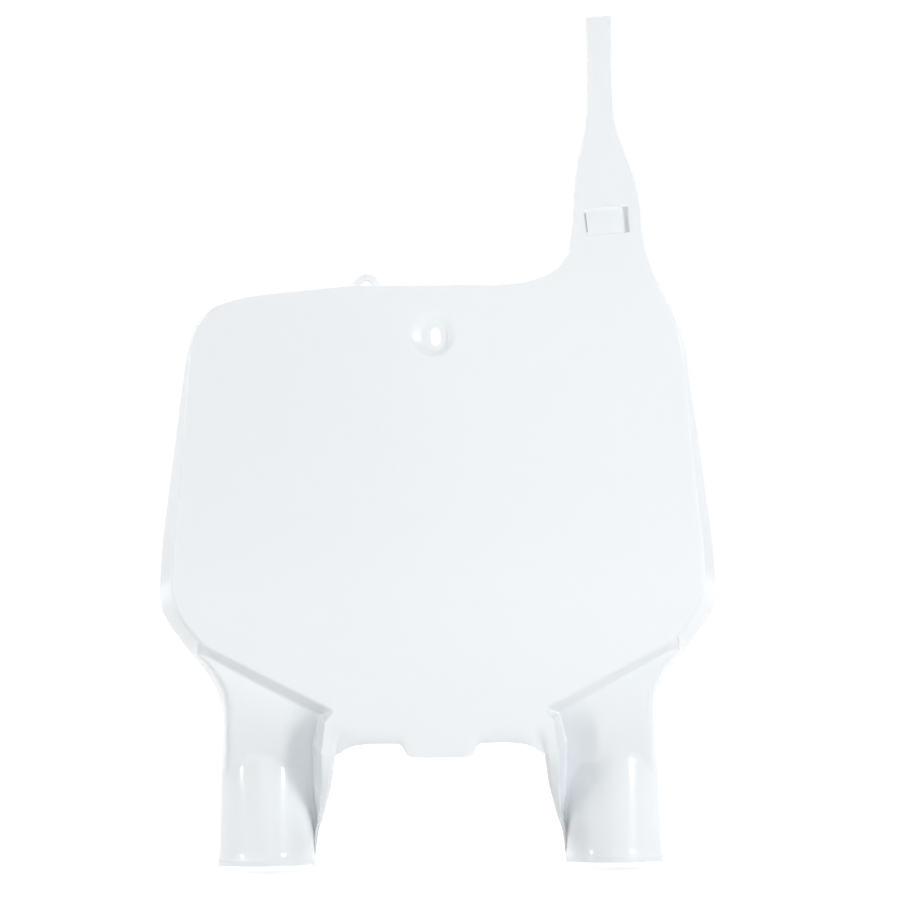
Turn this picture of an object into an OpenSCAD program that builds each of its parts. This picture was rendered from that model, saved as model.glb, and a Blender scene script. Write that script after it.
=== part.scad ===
/* [Sheet] */
// Wall thickness of the moulded sheet
sheet_t = 2.2; // [1.6:0.1:2.8]
// Radius of the gentle crown across the face
crown_r = 1200; // [900:50:2500]

/* [Face] */
// Depth of the step from the face down to the leg panels
step_depth = 11; // [8:0.5:14]
// How far the web between the legs bends back along its lower edge
web_bend = 2.5; // [0:0.5:4]

/* [Legs] */
// Distance between the centre lines of the two fork tubes
fork_spacing = 215.4; // [213:0.2:217]
// Radius of the fork tube that each saddle sits on
fork_r = 27.6; // [26.6:0.1:28]
// Lean of the fork tubes, top towards the back
fork_lean = 6.5; // [5:0.5:8]
// Depth of a fork tube's centre line behind the face at the saddle's end
fork_depth = 48.4; // [46:0.2:50]
// Slope of the leg panels towards the back
panel_slope = 22; // [20:1:24]

/* [Screw dimple] */
// Radius of the dimple in the face
dimple_r = 14; // [12:0.5:16]
// Depth of the seat below the face
dimple_depth = 3.2; // [2:0.2:4]
// Width of the upright screw slot
slot_w = 6.2; // [5:0.1:8]
// Height of the screw slot, round ends included
slot_h = 11.4; // [9:0.1:14]

/* [Strap] */
// Width of the strap at its upper end
strap_end_w = 15; // [12:0.5:18]
// Height of the strap's upper end above the screw slot
strap_top = 191.8; // [180:0.5:200]
// Lean of the strap towards the back
strap_lean = 5; // [0:0.5:8]
// Width of the window that takes the strap's end
window_w = 26.4; // [24:0.2:28]
// Height of the window
window_h = 15.6; // [13:0.2:17]
// Tilt of the window and of its bridge
window_tilt = 5; // [0:1:8]

/* [Eyelet] */
// Outer radius of the eyelet on the upper edge
eyelet_r = 8; // [7:0.5:9]
// Radius of its hole
eyelet_hole_r = 4; // [3:0.1:5]
// Thickness of the eyelet
eyelet_t = 2.6; // [2:0.1:4]

/* [Hidden] */

// Outer radius of a saddle, and half the distance between the two
saddle_r = fork_r + sheet_t;
fork_x = fork_spacing / 2;
saddle_end_z = -324.5;
// Half the distance between the legs that the outlines below are drawn for, and how far a leg moves from it
leg_line = 107.7;
spread = fork_x - leg_line;
// Centre of the strap's window, and of the eyelet
window_at = [103.5, 68.4];
eyelet_at = [41, 29.7];

// Columns run from the left rim to the right rim and are counted here from the nearer rim
RIM = 0;
EDGE = 4;
VALLEY = 15;
LIP = 18;
MID = 24;
COLS = 2 * MID;

// Rows run from the saddles' ends up to the strap's end
WEB = 17;
STEP_LOW = 23;
STEP_HIGH = 25;
TOP = 41;
ROWS = 56;

function mix(a, b, t) = a + (b - a) * t;
function clamp01(t) = min(1, max(0, t));
function ease(t) = let (c = clamp01(t)) c * c * (3 - 2 * c);
// Rounded inner corner and rounded outer corner between two surfaces
function fillet_in(a, b, r) = min(a, b) - pow(max(0, r - abs(a - b)), 2) / (4 * r);
function fillet_out(a, b, r) = max(a, b) + pow(max(0, r - abs(a - b)), 2) / (4 * r);

// Point on a smooth curve through control points, t from 0 to 1
function curve(p, t) = let (
    n = len(p) - 1,
    s = clamp01(t) * n,
    i = min(n - 1, floor(s)),
    f = s - i,
    a = p[max(0, i - 1)],
    b = p[i],
    c = p[i + 1],
    d = p[min(n, i + 2)]
  ) b + 0.5 * f * (c - a + f * (2 * a - 5 * b + 4 * c - d + f * (3 * (b - c) + d - a)));

function crown(x) = x * x / (2 * crown_r);

// Depth of the rear rim at each height
rim_depth = [[-330, 52], [-300, 47], [-275, 43.5], [-250, 41], [-200, 37], [-160, 33], [-80, 23],
             [-20, 14], [5, 9.5], [12, 8.5], [50, 6.5]];

// Half width of the rim beside the legs
leg_rim = [[-330, 137.6], [-300, 136.8], [-275, 135.2], [-250, 133.8], [-230, 133.8]];

// Edge of the leg panel and the rim behind it, from the web line up to the foot of the step
hip_edge = [[125, -239], [124.7, -229], [124.9, -221], [127, -213], [132.4, -204.2],
            [138.5, -196.8], [145.7, -191.4]];
hip_rim = [[133.8, -239], [133.8, -231], [134.4, -223], [136.4, -215.5], [140, -208],
           [144.5, -201.4], [150.8, -193.8]];

// Inner lip of the legs: outer edge, inner edge, rim and depth
lip_out = [[-330, 78], [-318, 77.8], [-305, 76.9], [-296, 75], [-288, 73.4], [-268, 71.2], [-235, 71]];
lip_in = [[-330, 77.9], [-318, 77.4], [-305, 76], [-296, 73.2], [-288, 71], [-268, 67.5], [-250, 65.8]];
lip_rim = [[-330, 77.8], [-318, 77.1], [-305, 75.2], [-296, 72], [-288, 69.8], [-268, 65.2], [-250, 62.8]];
lip_depth = [[-330, 50], [-310, 46.5], [-300, 40], [-290, 31], [-280, 21.5], [-268, 11.5], [-256, 4.5], [-250, 3]];

// Front of the leg: panel with its pocket, and the saddle, for a distance x from the middle
function fork_y(z) = fork_depth + (z - saddle_end_z) * tan(fork_lean);
function saddle(x, z) = let (d = min(saddle_r, abs(x - leg_line)))
  fork_y(z) - sqrt(pow(saddle_r, 2) - d * d) / cos(fork_lean);
function panel(x, z) = step_depth + crown(x)
  + fillet_out(0, (-226 - z) * tan(panel_slope), 6)
  + 0.02 * pow(max(0, 100 - x), 2) * ease((-222 - z) / 30);
function leg(x, z) = min(lookup(z, rim_depth) - 1, fillet_in(panel(x, z), saddle(x, z), 2));

// Edge of the face and the rim behind it, from the lower corner to the upper corner
face_edge = [[143.7, -180.7], [154.4, -167.5], [159.4, -150], [159, -127], [155.8, -98],
             [152.7, -68], [150, -38], [148.4, -18], [146.4, -3], [142.6, 8.8]];
face_rim = [[154, -189.5], [164.4, -173.8], [169.5, -159.5], [168, -131], [163.8, -100],
            [159.2, -70], [154.8, -40], [151.4, -19], [148, -3], [143.1, 9.3]];
// Upper corner on the left, and the shoulder and strap edge on the right
corner_top = [[142.6, 8.8], [134.8, 17.9], [122.6, 22.9], [109, 25.6], [94, 27.3], [78.5, 28.8]];
shoulder = [[143.7, -180.7], [154.4, -167.5], [159.4, -150], [159, -127], [155.8, -98],
            [152.7, -66], [149.8, -33], [147.2, -8], [141, 14], [131.7, 33.4], [126.1, 50]];
shoulder_rim = [[154, -189.5], [164.4, -173.8], [169.5, -159.5], [168, -131], [163.8, -100],
                [159.2, -68], [154.2, -35], [149.8, -8], [142, 14.6], [132.5, 33.8], [126.7, 50]];
// Upper edge of the face from the middle outward, and the lower edge of the web
web_top_left = [[0, 31.1], [16, 31.1], [34, 31.1], [48, 31.1], [58, 30.5], [68, 29.6], [78.5, 28.8]];
web_top_right = [[0, 31.1], [16, 31.1], [34, 31], [49, 31.9], [62, 34.7], [72.8, 40.6], [80.6, 50]];
web_low = [[0, -253], [9, -253], [18.8, -252.3], [24.6, -245], [38, -244.9], [51.5, -246.3]];

// Strap: left edge, right edge, from its base to its end
strap_left = [[80.6, 50], [83, 66], [84.2, 85], [86, 101], [89.3, 116], [91.9, 130],
              [92.8, 150], [92.8, 172], [92.5, 191.6]];
strap_right = [[126.1, 50], [124, 65], [122.5, 82], [118.8, 97.5], [112, 116], [108.1, 130],
               [107, 150], [106.7, 172], [106.9, 193]];
// How far the strap's edge rounds outward and back
strap_round = 0.6;

// Fractions of a wall column between the edge of the face and the rim, outward and back
wall_out = [1, 0.7, 0.4, 0.14, 0];
wall_back = [1, 0.66, 0.32, 0.05, 0];
// The same for the rounder edge beside the leg panels
soft_out = [1, 0.82, 0.6, 0.3, 0];
soft_back = [1, 0.6, 0.22, 0.05, 0];

// The three lines that the rows are laid between, each as [distance from the middle, height]
function step_top(k) =
  k <= EDGE ? mix(face_edge[0], face_rim[0], wall_out[k])
  : k <= VALLEY ? mix([139, -185.2], [64, -222.6], (k - EDGE - 1) / (VALLEY - EDGE - 1))
  : k <= LIP ? mix([62.4, -223.6], [57, -225.6], (k - VALLEY - 1) / (LIP - VALLEY - 1))
  : [web_low[MID - k][0] * 0.95, -226];
function step_foot(k) =
  k <= EDGE ? mix(hip_edge[6], hip_rim[6], wall_out[k])
  : k <= VALLEY ? mix([138.6, -193.4], [73.4, -229.6], (k - EDGE - 1) / (VALLEY - EDGE - 1))
  : k <= LIP ? mix([68.6, -231], [58.8, -232], (k - VALLEY - 1) / (LIP - VALLEY - 1))
  : [web_low[MID - k][0] * 0.97, -232];
function leg_x(k, z) = let (
    rim = lookup(z, leg_rim),
    edge = rim - 9,
    valley = mix(lookup(z, lip_out), 79, 0.9 * ease((z - saddle_end_z - 9.5) / 40))
  ) k <= EDGE ? mix(edge, rim, soft_out[k])
  : k <= VALLEY ? mix(valley, edge, 1 - cos(90 * (VALLEY - k) / (VALLEY - EDGE)))
  : k == LIP ? lookup(z, lip_rim)
  : k == LIP - 1 ? lookup(z, lip_in) : lookup(z, lip_out);
function web_line(k) = k <= LIP ? let (z = mix(-239, -252.4, pow(k / LIP, 2))) [leg_x(k, z), z]
  : web_low[MID - k];
function saddle_end(k) = let (z = saddle_end_z - 2.5) [leg_x(k, z), z + 3 * sin(180 * min(k, LIP) / LIP)];

// Depth across the edge and the wall behind it, for a front at depth y and a rim at height z
function wall_y(k, y, z, soft = 0) =
  mix(y, max(y + 0.6, lookup(z, rim_depth)), mix(wall_back[k], soft_back[k], soft));

// Front surface in each band of rows
function lip_y(k, z) = min(lookup(z, rim_depth), lookup(z, lip_depth) + [0, 1, 4.5][min(2, k - VALLEY - 1)]);
function leg_row(k, j) = let (
    p = mix(saddle_end(k), web_line(k), j / WEB),
    z = p[1],
    x = leg_x(k, z)
  ) [x,
     k == RIM ? lookup(z, rim_depth)
     : k < EDGE ? fillet_in(wall_y(k, panel(leg_x(EDGE, z), z), z, 1), saddle(x, z), 2)
     : k <= VALLEY ? leg(x, z)
     : lip_y(k, z),
     z];
function web_row(k, f) = let (
    e = curve(hip_edge, f),
    r = curve(hip_rim, f),
    d = e - mix(web_line(EDGE), step_foot(EDGE), f),
    p = k <= EDGE ? mix(e, r, mix(soft_out[k], wall_out[k], f))
      : mix(web_line(k), step_foot(k), f) + d * pow(max(0, VALLEY - k) / (VALLEY - EDGE), 2),
    x = p[0],
    z = p[1]
  ) [x,
     k < EDGE ? wall_y(k, panel(e[0], e[1]), z, 1 - f)
     : k <= VALLEY ? leg(x, z)
     : k <= LIP ? mix(lip_y(k, -252.4), crown(x), ease(f))
     : crown(x) + web_bend * [1.5, 1.1, 1, 0, 0, 0][k - LIP - 1] * pow(1 - f, 3),
     z];
function step_row(k, f) = let (p = mix(step_foot(k), step_top(k), f))
  [p[0],
   k > VALLEY ? crown(p[0]) : mix(web_row(k, 1)[1], face_row(k, 0)[1], f + 0.5 * f * (1 - f)),
   p[1]];

// The strap and the shoulder below it lean back from a soft crease across the strap's base
crease_z = 31.5;
function lean_back(x, z) = fillet_out(0, (z - crease_z) * tan(strap_lean), 0.35) * ease((x - 30) / 14);

// Upper line of the face on either side
function top_line(k, right) =
  k <= EDGE ? (right ? mix(shoulder[10], shoulder_rim[10], wall_out[k]) : mix(face_edge[9], face_rim[9], wall_out[k]))
  : k <= LIP ? let (f = (k - EDGE) / (LIP - EDGE)) right ? mix(shoulder[10], strap_left[0], f) : curve(corner_top, f)
  : (right ? web_top_right : web_top_left)[MID - k];

// Face: the two long edges and the upper and lower lines blended across
function side(k, v, right) = let (
    e = curve(right ? shoulder : face_edge, v),
    r = curve(right ? shoulder_rim : face_rim, v),
    p = mix(e, r, wall_out[k])
  ) [p[0], wall_y(k, crown(e[0]) + (right ? lean_back(e[0], e[1]) : 0), r[1]), p[1]];
function face_row(k, v, right = false) = k <= EDGE ? side(k, v, right) : let (
    w = (k - EDGE) / (MID - EDGE),
    low = step_top(k),
    high = top_line(k, right),
    e = curve(right ? shoulder : face_edge, v),
    e0 = step_top(EDGE),
    e1 = top_line(EDGE, right),
    d = e - mix(e0, e1, v),
    p = mix(low, high, v) + d * pow(1 - w, 2)
  ) [p[0], crown(p[0]) + (right ? lean_back(p[0], p[1]) : 0), p[1]];

function strap_row(k, v) = let (
    f = k <= EDGE ? 0 : (k - EDGE) / (LIP - EDGE),
    over = k < EDGE ? wall_out[k] : 0,
    a = curve(strap_right, v),
    b = curve(strap_left, v),
    end = (strap_end_w - strap_round) / norm(strap_right[8] - strap_left[8]),
    h = (a - b) * mix(1, end, clamp01((v - 0.6) / 0.4)),
    p = (a + b) / 2 + h * (0.5 - f) + [strap_round * over, 0],
    z = 50 + (p[1] - 50) * (strap_top - 50) / 142.4
  ) [p[0], crown(p[0]) * (1 - 0.6 * v) + lean_back(p[0], z) + strap_round * over, z];

// Place across for a distance x from the middle, once the legs stand as far apart as the fork tubes
function across(x) = x + spread * clamp01(x / 60);

// Front surface at column i and row j
function front(i, j) = let (
    right = i > MID,
    k = right ? COLS - i : i,
    p = j < WEB ? leg_row(k, j)
      : j <= STEP_LOW ? web_row(k, (j - WEB) / (STEP_LOW - WEB))
      : j < STEP_HIGH ? step_row(k, 0.8)
      : j <= TOP ? face_row(k, (j - STEP_HIGH) / (TOP - STEP_HIGH), right)
      : strap_row(k, (j - TOP) / (ROWS - TOP))
  ) [(right ? 1 : -1) * across(p[0]), p[1], p[2]];

// Cells that carry material: the legs, the face with its web, and the strap
function solid_cell(i, j) = let (k = i >= MID ? COLS - 1 - i : i)
  j < 0 || j >= ROWS || i < 0 || i >= COLS ? false
  : j < WEB ? k < LIP
  : j < TOP ? true : i >= COLS - LIP;

module sheet() {
  n = COLS + 1;
  pts = [for (j = [0:ROWS]) [for (i = [0:COLS]) front(i, j)]];
  // The saddles start thicker, so that their bores leave a wall of the right thickness
  function thick(i, j) = let (z = pts[j][i][2])
    sheet_t + 1.2 * (min(i, COLS - i) < VALLEY ? ease((-236 - z) / 14) : ease((saddle_end_z + 18.5 - z) / 8));
  function there(i, j) = solid_cell(i, j) || solid_cell(i - 1, j) || solid_cell(i, j - 1) || solid_cell(i - 1, j - 1);
  function pick(i, j, di, dj) = there(i + di, j + dj) && i + di >= 0 && i + di <= COLS && j + dj >= 0 && j + dj <= ROWS
    ? pts[j + dj][i + di] : pts[j][i];
  function normal(i, j) = let (
      c = cross(pick(i, j, 1, 0) - pick(i, j, -1, 0), pick(i, j, 0, 1) - pick(i, j, 0, -1))
    ) c / max(1e-6, norm(c));
  back = [for (j = [0:ROWS]) [for (i = [0:COLS]) there(i, j) ? pts[j][i] - thick(i, j) * normal(i, j) : pts[j][i]]];
  // Number of each point that is used, counted row by row
  used = [for (j = [0:ROWS]) for (i = [0:COLS]) there(i, j) ? 1 : 0];
  sums = [for (q = 0, s = 0; q < len(used); s = s + used[q], q = q + 1) s];
  m = sums[len(used) - 1] + used[len(used) - 1];
  function id(i, j) = sums[j * n + i];
  polyhedron(
    points = concat(
      [for (j = [0:ROWS]) for (i = [0:COLS]) if (there(i, j)) pts[j][i]],
      [for (j = [0:ROWS]) for (i = [0:COLS]) if (there(i, j)) back[j][i]]),
    faces = [for (j = [0:ROWS - 1]) for (i = [0:COLS - 1]) if (solid_cell(i, j))
      let (a = id(i, j), b = id(i + 1, j), c = id(i + 1, j + 1), d = id(i, j + 1))
      each concat(
        i < MID ? [[a, d, b], [b, d, c], [m + a, m + b, m + d], [m + b, m + c, m + d]]
                : [[a, c, b], [a, d, c], [m + a, m + b, m + c], [m + a, m + c, m + d]],
        solid_cell(i, j - 1) ? [] : [[a, b, m + b], [a, m + b, m + a]],
        solid_cell(i, j + 1) ? [] : [[c, d, m + d], [c, m + d, m + c]],
        solid_cell(i - 1, j) ? [] : [[d, a, m + a], [d, m + a, m + d]],
        solid_cell(i + 1, j) ? [] : [[b, c, m + c], [b, m + c, m + b]])]);
}

// Bead around the end of a saddle
module end_bead(s) {
  translate([s * fork_x, fork_depth, saddle_end_z]) rotate([-fork_lean, 0, 0]) intersection() {
    translate([0, 0, -4]) cylinder(r = saddle_r + 0.6, h = 6.6, $fn = 96);
    translate([-40, -40, -10]) cube([80, 40.6, 20]);
  }
}
// Bore of one fork tube, and the square cut that ends the saddles
module fork_bore(s) {
  translate([s * fork_x, fork_depth, saddle_end_z]) rotate([-fork_lean, 0, 0])
    translate([0, 0, -20]) cylinder(r = fork_r, h = 130, $fn = 96);
}
module saddle_cut() {
  w = fork_spacing + 2 * saddle_r + 60;
  translate([0, fork_depth, saddle_end_z]) rotate([-fork_lean, 0, 0])
    translate([-w / 2, -80, -30]) cube([w, 160, 30]);
}

// Round-ended upright prism along the depth
module obround(w, h, d) {
  rotate([-90, 0, 0]) linear_extrude(d) union() {
    square([w, h - w], center = true);
    for (s = [-1, 1]) translate([0, s * (h - w) / 2]) circle(d = w, $fn = 48);
  }
}
// The dimple's round rim stands a little off the slot and runs down to an upright seat around it
rim_at = [-2.2, 0, 1.8];
seat_w = slot_w + 7.8;
seat_h = slot_h + 6.2;
module dimple_rim(r, h) {
  translate(rim_at) rotate([-90, 0, 0]) cylinder(r = r, h = h, $fn = 64);
}
module dimple_boss() {
  hull() {
    translate([0, sheet_t / 2, 0]) dimple_rim(dimple_r + 2, 0.1);
    translate([0, dimple_depth + sheet_t - 0.1, 0]) obround(seat_w + 2.4, seat_h + 2.4, 0.1);
  }
}
module dimple_cut() {
  translate([0, -1, 0]) dimple_rim(dimple_r, 1.1);
  hull() {
    dimple_rim(dimple_r, 0.1);
    translate([0, dimple_depth - 0.1, 0]) obround(seat_w, seat_h, 0.1);
  }
  translate([0, -1, 0]) obround(slot_w, slot_h, 20);
}

// Eyelet ring behind the upper edge
module eyelet() {
  translate([-across(eyelet_at[0]), crown(eyelet_at[0]) + sheet_t - 0.4, eyelet_at[1]]) rotate([-90, 0, 0])
    cylinder(r = eyelet_r, h = eyelet_t, $fn = 64);
}
module eyelet_hole() {
  translate([-across(eyelet_at[0]), crown(eyelet_at[0]) + sheet_t - 0.5, eyelet_at[1]]) rotate([-90, 0, 0])
    cylinder(r = eyelet_hole_r, h = 12, $fn = 64);
}

// Window in the strap, and the bridge that runs from its left end to behind the strap's right margin
module at_window() {
  x = window_at[0];
  translate([across(x), crown(x) * 0.92 + lean_back(x, window_at[1]), window_at[1]])
    rotate([-strap_lean, 0, 0]) rotate([0, -window_tilt, 0]) rotate([0, 0, atan(x / crown_r)]) children();
}
module window_cut() {
  at_window() cube([window_w, 30, window_h], center = true);
}
module bridge() {
  half = window_w / 2;
  wall = 1.7;
  // Front line of the bridge, seen from above
  line = [[1 - half, 1], [2, 1.3], [3.6, 1.7], [half - 1.5, 5.2], [half + 2.5, 6.8]];
  at_window() translate([0, 0, -window_h / 2 - 3]) linear_extrude(window_h + 6)
    polygon(concat(line, [for (q = [len(line) - 1:-1:0]) line[q] + [0, wall]]));
}

module number_board() {
  color("white") translate([0, -dimple_depth, 0]) difference() {
    union() {
      difference() {
        sheet();
        window_cut();
      }
      bridge();
      dimple_boss();
      for (s = [-1, 1]) end_bead(s);
      eyelet();
    }
    for (s = [-1, 1]) fork_bore(s);
    saddle_cut();
    dimple_cut();
    eyelet_hole();
  }
}

number_board();
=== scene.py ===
import bisect
import math

import bmesh
import bpy
from bpy.props import FloatProperty, FloatVectorProperty, PointerProperty
from mathutils import Matrix, Vector
from mathutils.kdtree import KDTree


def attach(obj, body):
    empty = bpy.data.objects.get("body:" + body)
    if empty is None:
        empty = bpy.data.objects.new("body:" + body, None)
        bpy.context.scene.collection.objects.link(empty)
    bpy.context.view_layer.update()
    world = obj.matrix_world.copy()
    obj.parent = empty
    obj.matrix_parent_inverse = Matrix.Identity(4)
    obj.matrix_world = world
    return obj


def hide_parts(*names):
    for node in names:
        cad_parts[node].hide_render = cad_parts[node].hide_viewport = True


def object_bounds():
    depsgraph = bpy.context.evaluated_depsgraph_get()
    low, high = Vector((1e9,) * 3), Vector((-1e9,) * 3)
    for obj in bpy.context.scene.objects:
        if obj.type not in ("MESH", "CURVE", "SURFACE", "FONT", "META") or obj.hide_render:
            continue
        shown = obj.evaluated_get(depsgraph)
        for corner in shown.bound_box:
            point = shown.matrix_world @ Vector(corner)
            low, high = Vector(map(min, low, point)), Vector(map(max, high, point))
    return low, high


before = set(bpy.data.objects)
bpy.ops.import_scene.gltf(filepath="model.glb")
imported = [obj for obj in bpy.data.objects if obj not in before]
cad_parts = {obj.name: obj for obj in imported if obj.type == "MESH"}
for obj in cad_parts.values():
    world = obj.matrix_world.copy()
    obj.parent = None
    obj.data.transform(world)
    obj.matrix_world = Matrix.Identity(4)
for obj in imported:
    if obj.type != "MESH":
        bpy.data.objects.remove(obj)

bl_info = {
    "name": "Racing Number Board",
    "version": (1, 0, 0),
    "blender": (4, 5, 0),
    "location": "3D View > Sidebar > Number Board",
    "description": "Builds a moulded number board for the front of a motocross bike",
    "category": "Add Mesh",
}

CAD_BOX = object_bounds()
NODE = "number_board"
BODY = "root"
MM = 0.001

# Columns run from the nearer rim to the middle, rows from the saddles' ends to the strap's end
RIM, EDGE, VALLEY, LIP_OUTER, LIP_INNER, LIP, MID = 0, 4, 15, 16, 17, 18, 24
WEB, STEP_LOW, STEP_HIGH, TOP, ROWS = 17, 23, 25, 41, 56


def spread(start, stop, steps):
    return [start + (stop - start) * i / steps for i in range(steps)]


COLUMN_PLACES = (
    spread(0, 2, 5) + spread(2, 4, 9) + spread(4, 15, 33) + spread(15, 16, 9) + spread(16, 18, 9)
    + spread(18, 21, 15) + spread(21, 22.75, 5) + spread(22.75, 24, 22) + [24]
)
ROW_PLACES = (
    spread(0, 17, 68) + spread(17, 23, 21) + spread(23, 25, 12) + spread(25, 38, 50) + spread(38, 40.2, 44)
    + spread(40.2, 41, 4) + spread(41, 56, 72) + [56]
)

# Lines of the board in millimetres, as [distance from the middle, height] or [height, value]
RIM_DEPTH = [[-330, 52], [-300, 47], [-275, 43.5], [-250, 41], [-200, 37], [-160, 33], [-80, 23],
             [-20, 14], [5, 9.5], [12, 8.5], [50, 6.5]]
LEG_RIM = [[-330, 137.6], [-300, 136.8], [-275, 135.2], [-250, 133.8], [-230, 133.8]]
HIP_EDGE = [[125, -239], [124.7, -229], [124.9, -221], [127, -213], [132.4, -204.2],
            [138.5, -196.8], [145.7, -191.4]]
HIP_RIM = [[133.8, -239], [133.8, -231], [134.4, -223], [136.4, -215.5], [140, -208],
           [144.5, -201.4], [150.8, -193.8]]
LIP_OUT = [[-330, 78], [-318, 77.8], [-305, 76.9], [-296, 75], [-288, 73.4], [-268, 71.2], [-235, 71]]
LIP_IN = [[-330, 77.9], [-318, 77.4], [-305, 76], [-296, 73.2], [-288, 71], [-268, 67.5], [-250, 65.8]]
LIP_RIM = [[-330, 77.8], [-318, 77.1], [-305, 75.2], [-296, 72], [-288, 69.8], [-268, 65.2], [-250, 62.8]]
LIP_DEPTH = [[-330, 50], [-310, 46.5], [-300, 40], [-290, 31], [-280, 21.5], [-268, 11.5], [-256, 4.5],
             [-250, 3]]
FACE_EDGE = [[143.7, -180.7], [154.4, -167.5], [159.4, -150], [159, -127], [155.8, -98],
             [152.7, -68], [150, -38], [148.4, -18], [146.4, -3], [142.6, 8.8]]
FACE_RIM = [[154, -189.5], [164.4, -173.8], [169.5, -159.5], [168, -131], [163.8, -100],
            [159.2, -70], [154.8, -40], [151.4, -19], [148, -3], [143.1, 9.3]]
CORNER_TOP = [[142.6, 8.8], [134.8, 17.9], [122.6, 22.9], [109, 25.6], [94, 27.3], [78.5, 28.8]]
SHOULDER = FACE_EDGE[:5] + [[152.7, -66], [149.8, -33], [147.2, -8], [141, 14], [131.7, 33.4], [126.1, 50]]
SHOULDER_RIM = [[154, -189.5], [164.4, -173.8], [169.3, -159.5], [168, -131], [163.8, -100],
                [159.2, -68], [154.2, -35], [149.8, -8], [142, 14.6], [132.5, 33.8], [126.7, 50]]
WEB_TOP_LEFT = [[0, 31.1], [16, 31.1], [34, 31.1], [48, 31.1], [58, 30.5], [68, 29.6], [78.5, 28.8]]
WEB_TOP_RIGHT = [[0, 31.1], [16, 31.1], [34, 31], [49, 31.9], [62, 34.7], [72.8, 40.6], [80.6, 50]]
WEB_LOW = [[0, -253], [9, -253], [18.8, -252.3], [24.6, -245], [38, -244.9], [51.5, -246.3]]
WEB_TURN = [0, 0, 0, 1, 1.1, 1.5, 0]
STRAP_LEFT = [[80.6, 50], [83, 66], [84.2, 85], [86, 101], [89.3, 116], [91.9, 130],
              [92.8, 150], [92.8, 172], [92.5, 191.6]]
STRAP_RIGHT = [[126.1, 50], [124, 65], [122.5, 82], [118.8, 97.5], [112, 116], [108.1, 130],
               [107, 150], [106.7, 172], [106.9, 193]]

# The step's upper and lower line: a long straight run, then a short end towards the web
STEP_TOP_RUN, STEP_TOP_END = ((139, -185.2), (64, -222.6)), ((62.4, -223.6), (57, -225.6))
STEP_FOOT_RUN, STEP_FOOT_END = ((138.6, -193.4), (73.4, -229.6)), ((68.6, -231), (58.8, -232))

# How far a wall has gone out and back, from the rim's column to the edge's
WALL_OUT = [1, 0.7, 0.4, 0.14, 0]
WALL_BACK = [1, 0.66, 0.32, 0.05, 0]
SOFT_OUT = [1, 0.82, 0.6, 0.3, 0]
SOFT_BACK = [1, 0.6, 0.22, 0.05, 0]

# Places in millimetres, with height 0 at the screw slot
SADDLE_END_Z = -324.5
SHEET_FOOT_Z = -327
WEB_Z = -239
LIP_TOP = -252.4
LEG_LINE = 107.7
CREASE_Z = 31.5
STRAP_FOOT_Z = 50
STRAP_LENGTH = 142.4
STRAP_ROUND = 0.6
WINDOW_AT = (103.5, 68.4)
EYELET_AT = (41, 29.7)
RIM_AT = (-2.2, 1.8)
SEAT_RADIUS = 7.2
SEAT_STRAIGHT = 3.2
EDGE_BAND = 9
VALLEY_X = 79
BACK_MARGIN = 0.31


def mix(a, b, t):
    return a + (b - a) * t


def mix_pair(a, b, t):
    return mix(a[0], b[0], t), mix(a[1], b[1], t)


def clamp01(t):
    return min(1.0, max(0.0, t))


def ease(t):
    t = clamp01(t)
    return t * t * (3 - 2 * t)


def ramp(t, end):
    """Straight climb from 0 to 1 with a rounded foot and a rounded top."""
    t = clamp01(t)
    if t < end:
        return t * t / (2 * end * (1 - end))
    if t > 1 - end:
        return 1 - (1 - t) ** 2 / (2 * end * (1 - end))
    return (t - end / 2) / (1 - end)


def fillet_in(a, b, r):
    return min(a, b) - max(0.0, r - abs(a - b)) ** 2 / (4 * r)


def fillet_out(a, b, r):
    return max(a, b) + max(0.0, r - abs(a - b)) ** 2 / (4 * r)


def curve(points, t):
    """Point on a smooth curve through control points, t from 0 to 1."""
    n = len(points) - 1
    s = clamp01(t) * n
    i = min(n - 1, int(s))
    f = s - i
    corners = points[max(0, i - 1)], points[i], points[i + 1], points[min(n, i + 2)]
    return tuple(
        b + 0.5 * f * (c - a + f * (2 * a - 5 * b + 4 * c - d + f * (3 * (b - c) + d - a)))
        for a, b, c, d in zip(*corners)
    )


class Track:
    """A value that runs smoothly through given stops and never overshoots them."""

    def __init__(self, stops, values):
        self.stops, self.values = stops, values
        n = len(stops)
        rise = [(values[i + 1] - values[i]) / (stops[i + 1] - stops[i]) for i in range(n - 1)]
        self.slopes = [rise[0]] + [
            0.0 if rise[i - 1] * rise[i] <= 0 else 2 * rise[i - 1] * rise[i] / (rise[i - 1] + rise[i])
            for i in range(1, n - 1)
        ] + [rise[-1]]

    def __call__(self, x):
        stops, values, slopes = self.stops, self.values, self.slopes
        x = min(stops[-1], max(stops[0], x))
        i = min(len(stops) - 2, max(0, bisect.bisect_right(stops, x) - 1))
        h = stops[i + 1] - stops[i]
        t = (x - stops[i]) / h
        return (
            values[i] * (1 + 2 * t) * (1 - t) ** 2 + slopes[i] * h * t * (1 - t) ** 2
            + values[i + 1] * t * t * (3 - 2 * t) - slopes[i + 1] * h * t * t * (1 - t)
        )


def by_height(table):
    return Track([row[0] for row in table], [row[1] for row in table])


def by_column(values, first=0):
    return Track([first + i for i in range(len(values))], values)


def pair_by_column(points, first):
    x = by_column([p[0] for p in points], first)
    z = by_column([p[1] for p in points], first)
    return lambda k: (x(k), z(k))


def step_line(start, run, end, share, height):
    """One of the step's lines, column by column from the edge to the middle."""
    long_run = [mix_pair(*run, i / 10) for i in range(11)]
    short_end = [mix_pair(*end, i / 2) for i in range(3)]
    below_face = [(x * share, height) for x, _ in WEB_LOW[::-1]]
    return pair_by_column([start] + long_run + short_end + below_face, EDGE)


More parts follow.
